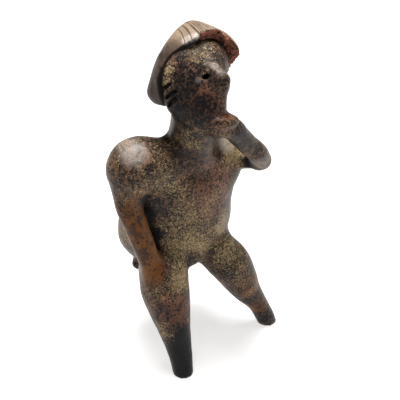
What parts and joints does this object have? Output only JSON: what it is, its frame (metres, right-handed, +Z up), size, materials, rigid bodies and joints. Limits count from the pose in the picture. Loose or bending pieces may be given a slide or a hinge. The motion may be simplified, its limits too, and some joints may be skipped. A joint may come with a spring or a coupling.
{
  "type": "hollow ceramic figure",
  "caption": "Hollow fired-clay standing figure with lifted face, hair cap with broken front, one hand raised to the mouth and the other resting on the thigh",
  "frame": {"origin": "Centre of the bounding box in X and Y, on the ground plane under the three soles", "axes": "+Z up, the figure looks toward -Y, its own left hand is on the +X side"},
  "size_m": [0.1398, 0.1106, 0.278],
  "materials": {
    "clay": "burnished dark brown clay, mottled with tan deposit and black spots"
  },
  "bodies": {
    "root": {"figure": "clay"}
  },
  "joints": []
}
